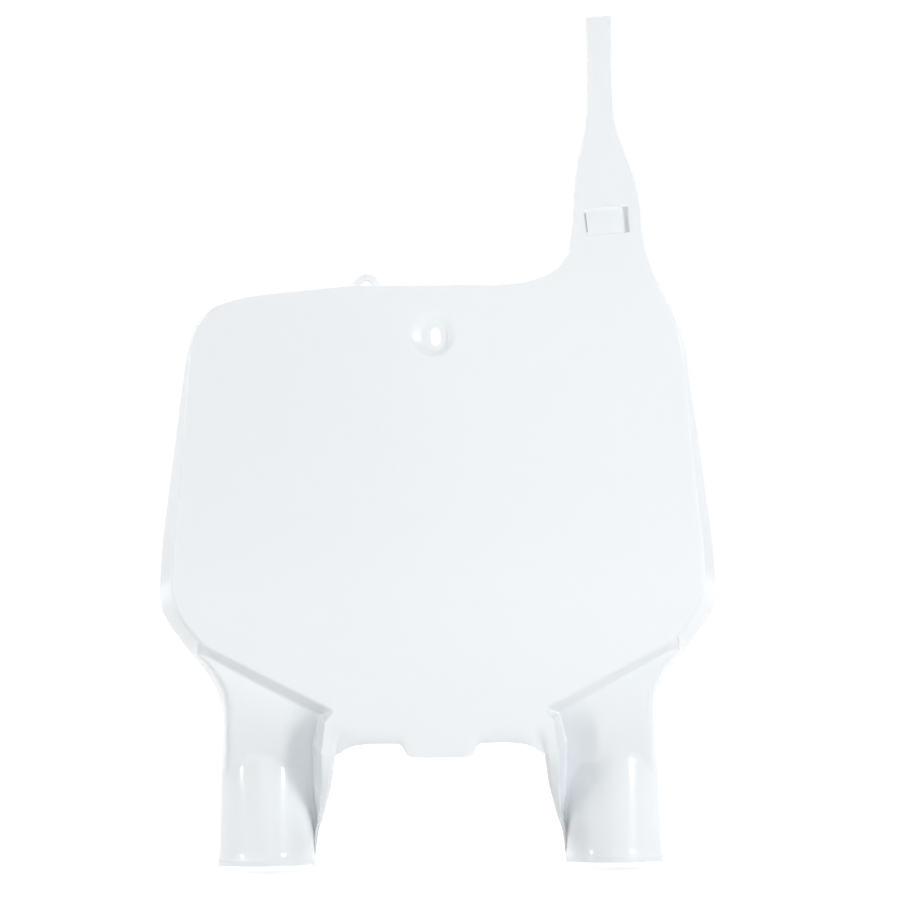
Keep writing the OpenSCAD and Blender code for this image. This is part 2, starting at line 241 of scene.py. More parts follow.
class BoardShape:
    """Front surface of the moulded sheet in millimetres, with the face's apex at depth 0."""

    # A foot or a top is a height, and a run is the distance over which a change sets in
    crest_roll = 1.6
    crest_foot = -280
    crest_run = 30
    pocket_start = 98
    pocket_round = 4
    pocket_fall = 0.65
    pocket_top = -219
    pocket_run = 28
    pocket_end = -262
    pocket_end_run = 25
    panel_break = -226
    panel_round = 6
    crest_fillet = 1.2
    side_fillet = 1.6
    rim_fillet = 3
    foot_arch = 3
    valley_foot = -315
    valley_run = 40
    crease_round = 0.35
    crease_start = 30
    crease_run = 14
    leg_extra = 1.2
    leg_extra_top = -236
    leg_extra_run = 14
    lip_thinning = 0.65
    lip_thinning_top = -298
    lip_thinning_run = 20
    spread_start = 60
    seat_rise = 0.7

    def __init__(self, sizes):
        self.sheet = sizes.sheet_thickness / MM
        self.crown_r = sizes.crown_radius / MM
        self.step = sizes.step_depth / MM
        self.web_bend = sizes.web_bend / MM
        self.fork_x = sizes.fork_spacing / MM / 2
        self.spread = self.fork_x - LEG_LINE
        self.fork_r = sizes.fork_radius / MM
        self.saddle_r = self.fork_r + self.sheet
        self.lean = sizes.fork_lean
        self.fork_depth = sizes.fork_depth / MM
        self.slope = math.tan(sizes.panel_slope)
        self.dimple_r = sizes.dimple_radius / MM
        self.dimple = sizes.dimple_depth / MM
        self.slot_w = sizes.slot_width / MM
        self.slot_h = sizes.slot_height / MM
        self.strap_top = sizes.strap_top / MM
        end = math.hypot(*(a - b for a, b in zip(STRAP_RIGHT[-1], STRAP_LEFT[-1])))
        self.strap_share = (sizes.strap_end_width / MM - STRAP_ROUND) / end
        self.strap_slope = math.tan(sizes.strap_lean)
        self.rim_depth = by_height(RIM_DEPTH)
        self.rear = RIM_DEPTH[0][1] - BACK_MARGIN
        self.leg_rim = by_height(LEG_RIM)
        self.lip_out = by_height(LIP_OUT)
        self.lip_in = by_height(LIP_IN)
        self.lip_rim = by_height(LIP_RIM)
        self.lip_depth = by_height(LIP_DEPTH)
        self.wall_out = by_column(WALL_OUT)
        self.wall_back = by_column(WALL_BACK)
        self.soft_out = by_column(SOFT_OUT)
        self.soft_back = by_column(SOFT_BACK)
        self.lip_drop = by_column([0, 1, 4.5], LIP_OUTER)
        self.web_turn = by_column(WEB_TURN[::-1], LIP)
        self.web_low = pair_by_column([(self.lip_rim(LIP_TOP), LIP_TOP)] + WEB_LOW[::-1], LIP)
        self.web_top = {
            False: pair_by_column(WEB_TOP_LEFT[::-1], LIP),
            True: pair_by_column(WEB_TOP_RIGHT[::-1], LIP),
        }
        self.step_top_line = step_line(FACE_EDGE[0], STEP_TOP_RUN, STEP_TOP_END, 0.95, -226)
        self.step_foot_line = step_line(HIP_EDGE[-1], STEP_FOOT_RUN, STEP_FOOT_END, 0.97, -232)

    def crown(self, x):
        return x * x / (2 * self.crown_r)

    def fork_y(self, z):
        return self.fork_depth + (z - SADDLE_END_Z) * math.tan(self.lean)

    def saddle(self, x, z):
        d = min(self.saddle_r, abs(x - LEG_LINE))
        front = self.fork_y(z) - math.sqrt(self.saddle_r ** 2 - d * d) / math.cos(self.lean)
        # The crest rolls back a little where it runs out into the panel
        return front + self.crest_roll * clamp01((z - self.crest_foot) / self.crest_run) ** 2

    def panel(self, x, z):
        # The pocket beside the lip starts softly, runs down steeply and grows shallow at the saddle
        into = math.hypot(max(0.0, self.pocket_start - x), self.pocket_round) - self.pocket_round
        deep = ease((self.pocket_top - z) / self.pocket_run)
        shallow = 1 - 0.5 * ease((self.pocket_end - z) / self.pocket_end_run)
        pocket = self.pocket_fall * into * deep * shallow
        bend = fillet_out(0, (self.panel_break - z) * self.slope, self.panel_round)
        return self.step + self.crown(x) + bend + pocket

    def leg(self, x, z):
        body = fillet_in(self.panel(x, z), self.saddle(x, z), self.crest_fillet)
        return fillet_in(self.rim_depth(z) - 1, body, self.rim_fillet)

    def wall_y(self, k, y, z, soft=0.0):
        share = mix(self.wall_back(k), self.soft_back(k), soft)
        return mix(y, max(y + 0.6, self.rim_depth(z)), share)

    def leg_x(self, k, z):
        if k <= EDGE:
            rim = self.leg_rim(z)
            return mix(rim - EDGE_BAND, rim, self.soft_out(k))
        if k <= LIP_OUTER:
            valley = mix(self.lip_out(z), VALLEY_X, 0.9 * ease((z - self.valley_foot) / self.valley_run))
            if k <= VALLEY:
                turn = 1 - math.cos(math.pi / 2 * (VALLEY - k) / (VALLEY - EDGE))
                return mix(valley, self.leg_rim(z) - EDGE_BAND, turn)
            return mix(valley, self.lip_out(z), k - VALLEY)
        if k <= LIP_INNER:
            return mix(self.lip_out(z), self.lip_in(z), k - LIP_OUTER)
        return mix(self.lip_in(z), self.lip_rim(z), k - LIP_INNER)

    def lip_y(self, k, z):
        return min(self.rim_depth(z), self.lip_depth(z) + self.lip_drop(k))

    def web_line(self, k):
        if k <= LIP:
            z = mix(WEB_Z, LIP_TOP, (k / LIP) ** 2)
            return self.leg_x(k, z), z
        return self.web_low(k)

    def step_top(self, k):
        if k > EDGE:
            return self.step_top_line(k)
        return mix_pair(FACE_EDGE[0], FACE_RIM[0], self.wall_out(k))

    def step_foot(self, k):
        if k > EDGE:
            return self.step_foot_line(k)
        return mix_pair(HIP_EDGE[-1], HIP_RIM[-1], self.wall_out(k))

    def hip_pair(self, k, f):
        edge, rim = curve(HIP_EDGE, f), curve(HIP_RIM, f)
        if k <= EDGE:
            return edge, mix_pair(edge, rim, mix(self.soft_out(k), self.wall_out(k), f))
        base = mix_pair(self.web_line(EDGE), self.step_foot(EDGE), f)
        pull = (max(0.0, VALLEY - k) / (VALLEY - EDGE)) ** 2
        p = mix_pair(self.web_line(k), self.step_foot(k), f)
        return edge, (p[0] + (edge[0] - base[0]) * pull, p[1] + (edge[1] - base[1]) * pull)

    def leg_row(self, k, j):
        high = self.hip_pair(k, 0)[1][1]
        low = SHEET_FOOT_Z + self.foot_arch * math.sin(math.pi * min(k, LIP) / LIP)
        z = mix(low, high, j / WEB)
        x = self.leg_x(k, z)
        if k < EDGE:
            def side(q):
                wall = self.wall_y(q, self.panel(self.leg_x(EDGE, z), z), z, 1.0)
                return fillet_in(wall, self.saddle(self.leg_x(q, z), z), self.side_fillet)
            return x, (side(k) if k >= 1 else mix(self.rim_depth(z), side(1), k)), z
        return x, (self.leg(x, z) if k <= VALLEY else self.lip_y(k, z)), z

    def web_row(self, k, f):
        edge, (x, z) = self.hip_pair(k, f)
        if k < EDGE:
            return x, self.wall_y(k, self.panel(*edge), z, 1 - f), z
        if k <= VALLEY:
            return x, self.leg(x, z), z
        lip = mix(self.lip_y(min(k, LIP), LIP_TOP), self.crown(x), ease(f))
        web = self.crown(x) + self.web_bend * self.web_turn(k) * (1 - f) ** 3
        return x, mix(lip, web, ease(k - LIP)), z

    def step_row(self, k, f):
        x, z = mix_pair(self.step_foot(k), self.step_top(k), f)
        if k > VALLEY:
            return x, self.crown(x), z
        return x, mix(self.web_row(k, 1)[1], self.face_row(k, 0, False)[1], ramp(f, 0.2)), z

    def top_line(self, k, right):
        if k <= EDGE:
            pair = (SHOULDER[-1], SHOULDER_RIM[-1]) if right else (FACE_EDGE[-1], FACE_RIM[-1])
            return mix_pair(*pair, self.wall_out(k))
        if k <= LIP:
            f = (k - EDGE) / (LIP - EDGE)
            return mix_pair(SHOULDER[-1], STRAP_LEFT[0], f) if right else curve(CORNER_TOP, f)
        return self.web_top[right](k)

    def lean_back(self, x, z):
        lean = fillet_out(0, (z - CREASE_Z) * self.strap_slope, self.crease_round)
        return lean * ease((x - self.crease_start) / self.crease_run)

    def face_row(self, k, v, right):
        edge = curve(SHOULDER if right else FACE_EDGE, v)
        if k <= EDGE:
            rim = curve(SHOULDER_RIM if right else FACE_RIM, v)
            x, z = mix_pair(edge, rim, self.wall_out(k))
            y = self.wall_y(k, self.crown(edge[0]), rim[1])
            return x, y + (self.lean_back(x, z) if right else 0), z
        w = (k - EDGE) / (MID - EDGE)
        base = mix_pair(self.step_top(EDGE), self.top_line(EDGE, right), v)
        x, z = mix_pair(self.step_top(k), self.top_line(k, right), v)
        x, z = x + (edge[0] - base[0]) * (1 - w) ** 2, z + (edge[1] - base[1]) * (1 - w) ** 2
        return x, self.crown(x) + (self.lean_back(x, z) if right else 0), z

    def strap_row(self, k, v):
        f = max(0.0, (k - EDGE) / (LIP - EDGE))
        over = STRAP_ROUND * self.wall_out(k) if k < EDGE else 0.0
        a, b = curve(STRAP_RIGHT, v), curve(STRAP_LEFT, v)
        width = mix(1, self.strap_share, clamp01((v - 0.6) / 0.4))
        x = (a[0] + b[0]) / 2 + (a[0] - b[0]) * width * (0.5 - f) + over
        z = (a[1] + b[1]) / 2 + (a[1] - b[1]) * width * (0.5 - f)
        z = STRAP_FOOT_Z + (z - STRAP_FOOT_Z) * (self.strap_top - STRAP_FOOT_Z) / STRAP_LENGTH
        return x, self.crown(x) * (1 - 0.6 * v) + self.lean_back(x, z) + over, z

    def dish(self, x, z):
        """Depth of the round dimple, which runs down to an obround seat."""
        out = self.dimple_r - math.hypot(x - RIM_AT[0], z - RIM_AT[1])
        if out <= 0:
            return 0.0
        inner = max(0.0, math.hypot(x, max(0.0, abs(z) - SEAT_STRAIGHT / 2)) - SEAT_RADIUS)
        return (self.dimple - self.seat_rise) * ramp(out / (out + inner), 0.25)

    def front(self, k, j, right):
        if VALLEY < k < LIP_OUTER and j < STEP_HIGH:
            a, b = self.front(VALLEY, j, right), self.front(LIP_OUTER, j, right)
            w = k - VALLEY
            return mix(a[0], b[0], w), mix(a[1], b[1], ramp(w, 0.14)), mix(a[2], b[2], w)
        if j < WEB:
            x, y, z = self.leg_row(k, j)
        elif j <= STEP_LOW:
            x, y, z = self.web_row(k, (j - WEB) / (STEP_LOW - WEB))
        elif j < STEP_HIGH:
            x, y, z = self.step_row(k, (j - STEP_LOW) / (STEP_HIGH - STEP_LOW))
        elif j <= TOP:
            x, y, z = self.face_row(k, (j - STEP_HIGH) / (TOP - STEP_HIGH), right)
            if k > 22:
                y += self.dish(x if right else -x, z)
        else:
            x, y, z = self.strap_row(k, (j - TOP) / (ROWS - TOP))
        return self.across(x if right else -x), y, z

    def across(self, x):
        """Place across the board once the legs stand as far apart as the fork tubes."""
        return x + math.copysign(self.spread * clamp01(abs(x) / self.spread_start), x)

    def thickness(self, k, z):
        if k < VALLEY:
            return self.sheet + self.leg_extra * ease((self.leg_extra_top - z) / self.leg_extra_run)
        thinned = self.lip_thinning * ease((self.lip_thinning_top - z) / self.lip_thinning_run)
        return self.sheet * (1 - thinned)


def has_cell(k, j, right):
    """Cells that carry material: the legs, the face with its web, and the strap."""
    if j < WEB:
        return k < LIP
    return j < TOP or (right and k < LIP)


def sheet_cells(columns, middle):
    """Quads of the sheet as grid cells, and the grid points that they use."""
    cells = []
    for r in range(len(ROW_PLACES) - 1):
        j = (ROW_PLACES[r] + ROW_PLACES[r + 1]) / 2
        for c in range(len(columns) - 1):
            if has_cell((columns[c][0] + columns[c + 1][0]) / 2, j, c >= middle):
                cells.append((c, r))
    used = {}
    for c, r in cells:
        for point in ((c, r), (c + 1, r), (c + 1, r + 1), (c, r + 1)):
            used.setdefault(point, len(used))
    quads = [(used[c, r], used[c + 1, r], used[c + 1, r + 1], used[c, r + 1]) for c, r in cells]
    return used, quads


def surface_normals(points, quads):
    normals = [Vector() for _ in points]
    for q in quads:
        n = (points[q[2]] - points[q[0]]).cross(points[q[3]] - points[q[1]])
        for i in q:
            normals[i] += n
    return [n.normalized() for n in normals]


def border_of(quads):
    """Edges that only one quad uses, each with its quad."""
    edge_use = {(q[i], q[(i + 1) % 4]): q for q in quads for i in range(4)}
    return [(e, q) for e, q in edge_use.items() if (e[1], e[0]) not in edge_use]


def border_directions(points, normals, border):
    """At each point of the border, the direction out of the sheet and along its surface."""
    outward = {}
    for (a, b), q in border:
        along = (points[b] - points[a]).normalized()
        centre = sum((points[i] for i in q), Vector()) / 4
        o = (points[a] + points[b]) / 2 - centre
        o -= along * o.dot(along)
        for i in (a, b):
            outward[i] = outward.get(i, Vector()) + o.normalized()
    for i, o in outward.items():
        o -= normals[i] * o.dot(normals[i])
        outward[i] = o.normalized()
    return outward


def drawn_in(points, outward, edge_radius):
    """Points near the border, moved in by the radius that the rounded edge brings back."""
    reach = 3 * edge_radius
    tree = KDTree(len(outward))
    for i in outward:
        tree.insert(points[i], i)
    tree.balance()
    moved = []
    for p in points:
        _, near, d = tree.find(p)
        moved.append(p - outward[near] * edge_radius * (1 - d / reach) if d < reach else p)
    return moved


def softened(normals, used, passes=6):
    around = ((-1, 0), (1, 0), (0, -1), (0, 1))
    neighbours = [[used[c + dc, r + dr] for dc, dr in around if (c + dc, r + dr) in used] for c, r in used]
    for _ in range(passes):
        normals = [(n * 2 + sum((normals[m] for m in near), Vector())).normalized()
                   for n, near in zip(normals, neighbours)]
    return normals


def build_sheet_mesh(shape, edge_radius):
    """Closed mesh of the sheet: front, back, and a rounded edge all round."""
    columns = [(k, False) for k in COLUMN_PLACES] + [(k, True) for k in COLUMN_PLACES[-2::-1]]
    used, quads = sheet_cells(columns, len(COLUMN_PLACES) - 1)
    points = [Vector(shape.front(columns[c][0], ROW_PLACES[r], columns[c][1])) for c, r in used]
    normals = surface_normals(points, quads)
    border = border_of(quads)
    outward = border_directions(points, normals, border)
    points = drawn_in(points, outward, edge_radius)

    # The back follows the front along softened normals
    soft = softened(normals, used)
    back = []
    for (c, _), p, n in zip(used, points, soft):
        behind = p - n * shape.thickness(columns[c][0], p.z)
        behind.y = min(behind.y, shape.rear)
        back.append(behind)

    count = len(points)
    verts = points + back
    faces = quads + [tuple(count + i for i in q[::-1]) for q in quads]
    rings = {}
    for i, o in outward.items():
        rings[i] = [i]
        for start, inward, turns in ((points[i], -normals[i], (30, 60, 90)), (back[i], soft[i], (90, 45))):
            for a in map(math.radians, turns):
                rings[i].append(len(verts))
                reach, sink = edge_radius * math.sin(a), edge_radius * (1 - math.cos(a))
                verts.append(start + o * reach + inward * sink)
        rings[i].append(count + i)
    for (a, b), _ in border:
        for q in range(len(rings[a]) - 1):
            faces.append((rings[b][q], rings[a][q], rings[a][q + 1], rings[b][q + 1]))
    return verts, faces


def new_object(name, verts, faces, offset=Vector()):
    """Mesh object in metres from points in millimetres."""
    mesh = bpy.data.meshes.new(name)
    mesh.from_pydata([(Vector(v) + offset) * MM for v in verts], [], faces)
    mesh.validate()
    obj = bpy.data.objects.new(name, mesh)
    bpy.context.scene.collection.objects.link(obj)
    return obj


def prism(outline, low, high, place):
    """Closed prism of a plane outline [(a, b)] between two levels, set in place by a matrix."""
    return stacked([(low, outline), (high, outline)], place)


def stacked(outlines, place):
    """Closed solid through a stack of outlines [(level, [(a, b)])] with equal numbers of points."""
    n = len(outlines[0][1])
    verts = [place @ Vector((a, b, level)) for level, outline in outlines for a, b in outline]
    faces = [tuple(range(n))[::-1], tuple(range((len(outlines) - 1) * n, len(outlines) * n))]
    for s in range(len(outlines) - 1):
        low, high = s * n, (s + 1) * n
        faces += [(low + i, low + (i + 1) % n, high + (i + 1) % n, high + i) for i in range(n)]
    return verts, faces


def circle(radius, segments):
    turns = [math.tau * i / segments for i in range(segments)]
    return [(radius * math.cos(a), radius * math.sin(a)) for a in turns]


def rounded_box(width, height, radius, segments=8):
    """Outline of a rectangle with round corners."""
    out = []
    for corner, (sx, sy) in enumerate(((1, 1), (-1, 1), (-1, -1), (1, -1))):
        x, y = sx * (width / 2 - radius), sy * (height / 2 - radius)
        for i in range(segments + 1):
            a = math.pi / 2 * (corner + i / segments)
            out.append((x + radius * math.cos(a), y + radius * math.sin(a)))
    return out


def swept(profile, start, stop, steps, place):
    """Closed part ring: a profile [(radius, height)] carried round the upright axis between two angles."""
    n = len(profile)
    verts = []
    for s in range(steps + 1):
        a = mix(start, stop, s / steps)
        verts += [place @ Vector((r * math.sin(a), -r * math.cos(a), h)) for r, h in profile]
    faces = [tuple(range(n)), tuple(range(steps * n, (steps + 1) * n))[::-1]]
    for s in range(steps):
        here, there = s * n, (s + 1) * n
        faces += [(here + i, there + i, there + (i + 1) % n, here + (i + 1) % n) for i in range(n)]
    return verts, faces


def turned(profile, segments, place):
    """Closed ring turned about the local upright axis from a profile [(radius, height)]."""
    n = len(profile)
    verts = [place @ Vector((r * a, r * b, h)) for a, b in circle(1, segments) for r, h in profile]
    faces = []
    for s in range(segments):
        t = (s + 1) % segments
        faces += [(s * n + i, t * n + i, t * n + (i + 1) % n, s * n + (i + 1) % n) for i in range(n)]
    return verts, faces


def outward_faces(obj):
    bm = bmesh.new()
    bm.from_mesh(obj.data)
    bmesh.ops.recalc_face_normals(bm, faces=bm.faces)
    bm.to_mesh(obj.data)
    bm.free()
    return obj


def combine(target, tool, operation):
    """Adds a tool solid to the target, or cuts it away, and removes the tool."""
    outward_faces(tool)
    before = len(target.data.polygons)
    modifier = target.modifiers.new("join", "BOOLEAN")
    modifier.operation = operation
    modifier.solver = "MANIFOLD"
    modifier.object = tool
    graph = bpy.context.evaluated_depsgraph_get()
    mesh = bpy.data.meshes.new_from_object(target.evaluated_get(graph))
    target.modifiers.remove(modifier)
    if len(mesh.polygons) < before / 2:
        raise RuntimeError(f"{tool.name} could not be joined to {target.name}")
    old = target.data
    target.data = mesh
    mesh.name = target.name
    bpy.data.meshes.remove(old)
    bpy.data.objects.remove(tool)


def smooth_shading(obj, angle=math.radians(34)):
    mesh = obj.data
    bm = bmesh.new()
    bm.from_mesh(mesh)
    for face in bm.faces:
        face.smooth = True
    for edge in bm.edges:
        edge.smooth = len(edge.link_faces) != 2 or edge.calc_face_angle(0) < angle
    bm.to_mesh(mesh)
    bm.free()
    even = obj.modifiers.new("even_shading", "WEIGHTED_NORMAL")
    even.keep_sharp = True


class Socket:
    """A shader value that can be used in Python expressions."""

    def __init__(self, shader, socket):
        self.shader, self.socket = shader, socket

    def _math(self, operation, *values):
        return self.shader.node("ShaderNodeMath", {"operation": operation}, dict(enumerate(values)))

    def __add__(self, other):
        return self._math("ADD", self, other)

    def __radd__(self, other):
        return self._math("ADD", other, self)

    def __sub__(self, other):
        return self._math("SUBTRACT", self, other)

    def __rsub__(self, other):
        return self._math("SUBTRACT", other, self)

    def __mul__(self, other):
        return self._math("MULTIPLY", self, other)

    def __rmul__(self, other):
        return self._math("MULTIPLY", other, self)


class Shader:
    """A node tree that is filled by one method."""

    def __init__(self, tree):
        self.tree = tree
        tree.nodes.clear()

    def node(self, kind, settings=None, values=None, output=0):
        item = self.tree.nodes.new(kind)
        for name, value in (settings or {}).items():
            setattr(item, name, value)
        for name, value in (values or {}).items():
            if isinstance(value, Socket):
                self.tree.links.new(value.socket, item.inputs[name])
            else:
                item.inputs[name].default_value = value
        return Socket(self, item.outputs[output]) if item.outputs else item


def moulded_plastic(settings):
    """Glossy white plastic with the slight waviness and fine haze of an injection moulding."""
    material = bpy.data.materials.new("moulded_white_plastic")
    material.use_nodes = True
    shader = Shader(material.node_tree)
    place = shader.node("ShaderNodeTexCoord", output=3)

    def noise(scale, detail, roughness):
        values = {"Vector": place, "Scale": scale, "Detail": detail, "Roughness": roughness}
        return shader.node("ShaderNodeTexNoise", {"noise_dimensions": "3D"}, values)

    mottle = noise(9.0, 3.0, 0.5)
    haze = noise(60.0, 4.0, 0.55)
    grain = noise(900.0, 2.0, 0.5)
    wave = noise(28.0, 1.0, 0.4)
    base = tuple(settings.plastic_colour)
    cool = (base[0] * 0.996, base[1] * 0.997, base[2], 1)
    warm = (min(1, base[0] * 1.003), min(1, base[1] * 1.002), base[2], 1)
    colour = shader.node("ShaderNodeMix", {"data_type": "RGBA"},
                         {"Factor": mottle, 6: cool, 7: warm}, output=2)
    roughness = 0.15 + haze * 0.05 + grain * 0.03
    height = wave * 0.8 + grain * 0.03
    bump = shader.node("ShaderNodeBump", None, {"Strength": 0.08, "Distance": 0.0004, "Height": height})
    surface = shader.node("ShaderNodeBsdfPrincipled", None, {
        "Base Color": colour, "Roughness": roughness, "Normal": bump, "IOR": 1.49,
        "Coat Roughness": 0.08, "Coat Weight": 0.15,
    })
    shader.node("ShaderNodeOutputMaterial", None, {"Surface": surface})
    return material


def dress(obj, material):
    obj.data.materials.clear()
    obj.data.materials.append(material)
    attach(obj, BODY)
    return obj


def length(label, note, value, low, high):
    return FloatProperty(name=label, description=note, default=value, min=low, max=high, unit="LENGTH")


def angle(label, note, degrees):
    return FloatProperty(name=label, description=note, default=math.radians(degrees), unit="ROTATION")


class NumberBoardSettings(bpy.types.PropertyGroup):
    """Sizes and colour of the board."""

    sheet_thickness: length("Sheet thickness", "Wall thickness of the moulded sheet",
                            0.0022, 0.0016, 0.0028)
    crown_radius: length("Crown radius", "Radius of the gentle crown across the face", 1.2, 0.9, 2.5)
    step_depth: length("Step depth", "Depth from the face down to the leg panels", 0.011, 0.008, 0.014)
    web_bend: length("Web bend", "How far the web's lower edge bends back", 0.0025, 0.0, 0.004)
    fork_spacing: length("Fork spacing", "Distance between the two fork tubes", 0.2154, 0.213, 0.217)
    fork_radius: length("Fork radius", "Radius of the tube that a saddle sits on", 0.0276, 0.0266, 0.028)
    fork_lean: angle("Fork lean", "Lean of the fork tubes, top towards the back", 6.5)
    fork_depth: length("Fork depth", "Depth of the tubes' centre line at the saddles' ends",
                       0.0484, 0.046, 0.05)
    panel_slope: angle("Panel slope", "Slope of the leg panels towards the back", 22)
    dimple_radius: length("Dimple radius", "Radius of the dimple in the face", 0.014, 0.012, 0.016)
    dimple_depth: length("Dimple depth", "Depth of the screw seat below the face", 0.0032, 0.002, 0.004)
    slot_width: length("Slot width", "Width of the upright screw slot", 0.0062, 0.005, 0.008)
    slot_height: length("Slot height", "Height of the screw slot with its round ends", 0.0114, 0.009, 0.014)
    strap_end_width: length("Strap end width", "Width of the strap at its upper end", 0.015, 0.012, 0.018)
    strap_top: length("Strap height", "Height of the strap's end above the screw slot", 0.1918, 0.18, 0.2)
    strap_lean: angle("Strap lean", "Lean of the strap towards the back", 5)
    window_width: length("Window width", "Width of the window that takes the strap's end",
                         0.0264, 0.024, 0.028)
    window_height: length("Window height", "Height of the window", 0.0156, 0.013, 0.017)
    window_tilt: angle("Window tilt", "Tilt of the window and of its bridge", 5)
    eyelet_radius: length("Eyelet radius", "Outer radius of the eyelet on the upper edge",
                          0.008, 0.007, 0.009)
    eyelet_hole: length("Eyelet hole", "Radius of the eyelet's hole", 0.004, 0.003, 0.005)
    eyelet_thickness: length("Eyelet thickness", "Thickness of the eyelet", 0.0026, 0.002, 0.004)
    edge_radius: length("Edge radius", "Rounding along the edge of the sheet", 0.0005, 0.0002, 0.0008)
    plastic_colour: FloatVectorProperty(
        name="Plastic", description="Colour of the moulded plastic",
        subtype="COLOR", default=(0.87, 0.905, 0.93), min=0, max=1)


def board_settings():
    return bpy.context.scene.number_board


def place_of(x, y, z, *turns):
    """Placing matrix in millimetres, with turns as (angle, axis)."""
    matrix = Matrix.Translation((x, y, z))
    for angle, axis in turns:
        matrix = matrix @ Matrix.Rotation(angle, 4, axis)
    return matrix


class MouldSheet(bpy.types.Operator):
    """Mould the board: the crowned face, the legs with their saddles, the web, the dimple and the strap"""

    bl_idname = "number_board.mould_sheet"
    bl_label = "Mould the board"

    def execute(self, context):
        s = board_settings()
        shape = BoardShape(s)
        seat = Vector((0, -shape.dimple, 0))
        board = new_object("moulded_board", *build_sheet_mesh(shape, s.edge_radius / MM), seat)
        steps = ((self.openings, "DIFFERENCE"), (self.additions, "UNION"), (self.cuts, "DIFFERENCE"))
        for tools, operation in steps:
            for name, tool in tools(s, shape):
                combine(board, new_object(name, *tool, seat), operation)
        smooth_shading(board)
        dress(board, moulded_plastic(s))
        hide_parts(NODE)
        return {"FINISHED"}

    def fork_place(self, shape, side):
        return place_of(side * shape.fork_x, shape.fork_depth, SADDLE_END_Z, (-shape.lean, "X"))

    def window_place(self, s, shape):
        x, z = WINDOW_AT
        y = shape.crown(x) * 0.92 + shape.lean_back(x, z)
        return place_of(shape.across(x), y, z, (-s.strap_lean, "X"), (-s.window_tilt, "Y"),
                        (math.atan(x / shape.crown_r), "Z"))

    def eyelet_place(self, shape):
        x, z = EYELET_AT
        return place_of(-shape.across(x), shape.crown(x) + shape.sheet - 0.4, z, (-math.pi / 2, "X"))

    def openings(self, s, shape):
        w, h = s.window_width / MM, s.window_height / MM
        steps = ((-6, 0.5), (-0.02, 0.5), (0.08, 0.25), (0.3, 0.08), (0.6, 0), (12, 0))
        flare = [(level, rounded_box(w + 2 * d, h + 2 * d, 0.8 + d)) for level, d in steps]
        upright = Matrix.Rotation(-math.pi / 2, 4, "X")
        yield "strap_window", stacked(flare, self.window_place(s, shape) @ upright)

    def additions(self, s, shape):
        yield from self.beads(shape)
        yield "eyelet_ring", self.eyelet(s, shape)
        yield from self.bridge(s, shape)

    def beads(self, shape):
        """Beads round the saddles' ends, each with a foot that flares into its saddle."""
        r, inner, stand_out = shape.saddle_r, shape.fork_r - 0.6, 0.6
        outer = r + stand_out
        shares = (0, 0.15, 0.3, 0.5, 0.75, 1)
        flare = [(r + stand_out * (1 - f) ** 2 - 0.02 * f, 3.2 + 5.5 * f) for f in shares]
        bead = [(inner, -3), (outer, -3), (outer, 2.7), (outer - 0.02, 3.0)] + flare + [(inner, 8.7)]
        turn = math.radians(91.2)
        for side, name in ((-1, "left_bead"), (1, "right_bead")):
            yield name, swept(bead, -turn, turn, 96, self.fork_place(shape, side))

    def eyelet(self, s, shape):
        outer, hole, thick = s.eyelet_radius / MM, s.eyelet_hole / MM, s.eyelet_thickness / MM
        c = 0.5
        near_edge = c * 0.3
        ring = [(hole, c), (hole + c, 0), (outer - c, 0), (outer - near_edge, near_edge), (outer, c),
                (outer, thick - c), (outer - near_edge, thick - near_edge), (outer - c, thick),
                (hole + c, thick), (hole, thick - c)]
        return turned(ring, 64, self.eyelet_place(shape))

    def bridge(self, s, shape):
        """Bridge that bows back across the window and passes behind the strap's right edge."""
        half, overlap, sheet = s.window_width / MM / 2, 2.5, 1.7
        start, stop, steps = 1 - half, half + overlap, 36
        path = Track([start, 1.2, 2.6, 4.2, half - 4, half - 1.2, stop],
                     [0.9, 1.1, 1.3, 1.5, 2.4, 4.2, 6.8])
        front = [(x, path(x)) for x in (mix(start, stop, i / steps) for i in range(steps + 1))]
        behind = [(x - 0.3, y + sheet) for x, y in front[::-1]]
        tail = [(-half - overlap, 2.0), (-half, 2.4), (start, 2.4)]
        outline = tail + front + behind[:-3] + [(-half - overlap, 3.8)]
        tall = s.window_height / MM / 2 + 3
        place = self.window_place(s, shape)
        yield "strap_bridge", prism(outline, -tall, tall, place)
        # The slit beside the bridge stops short of the window's corners
        end = [(-half - 0.6, 0.9), (-half + 1.6, 0.9), (-half + 1.6, 2.1), (-half - 0.6, 2.1)]
        for side, name in ((-1, "slit_end_low"), (1, "slit_end_high")):
            yield name, prism(end, *sorted((side * 5.7, side * (tall - 1))), place)

    def cuts(self, s, shape):
        for side, name in ((-1, "left_fork_bore"), (1, "right_fork_bore")):
            yield name, prism(circle(shape.fork_r, 160), -20, 110, self.fork_place(shape, side))
        wide = shape.fork_x + shape.saddle_r + 30
        end = [(-wide, -80), (wide, -80), (wide, 80), (-wide, 80)]
        end_place = place_of(0, shape.fork_depth, SADDLE_END_Z, (-shape.lean, "X"))
        yield "saddle_end_cut", prism(end, -30, 0, end_place)
        upright = place_of(0, 0, 0, (-math.pi / 2, "X"))
        seat = shape.dimple
        wide, tall = 2 * (SEAT_RADIUS - 0.2), 2 * SEAT_RADIUS + SEAT_STRAIGHT
        yield "screw_seat", prism(rounded_box(wide, tall, wide / 2 - 0.1, 12), -4, seat, upright)
        w, h = shape.slot_w, shape.slot_h
        steps = ((-2, 0.35), (seat - 0.05, 0.35), (seat + 0.1, 0.12), (seat + 0.35, 0), (14, 0))
        flare = [(level, rounded_box(w + 2 * d, h + 2 * d, w / 2 + d - 0.01, 12)) for level, d in steps]
        yield "screw_slot", stacked(flare, upright)
        yield "eyelet_hole", prism(circle(s.eyelet_hole / MM, 64), 0.2, 12, self.eyelet_place(shape))


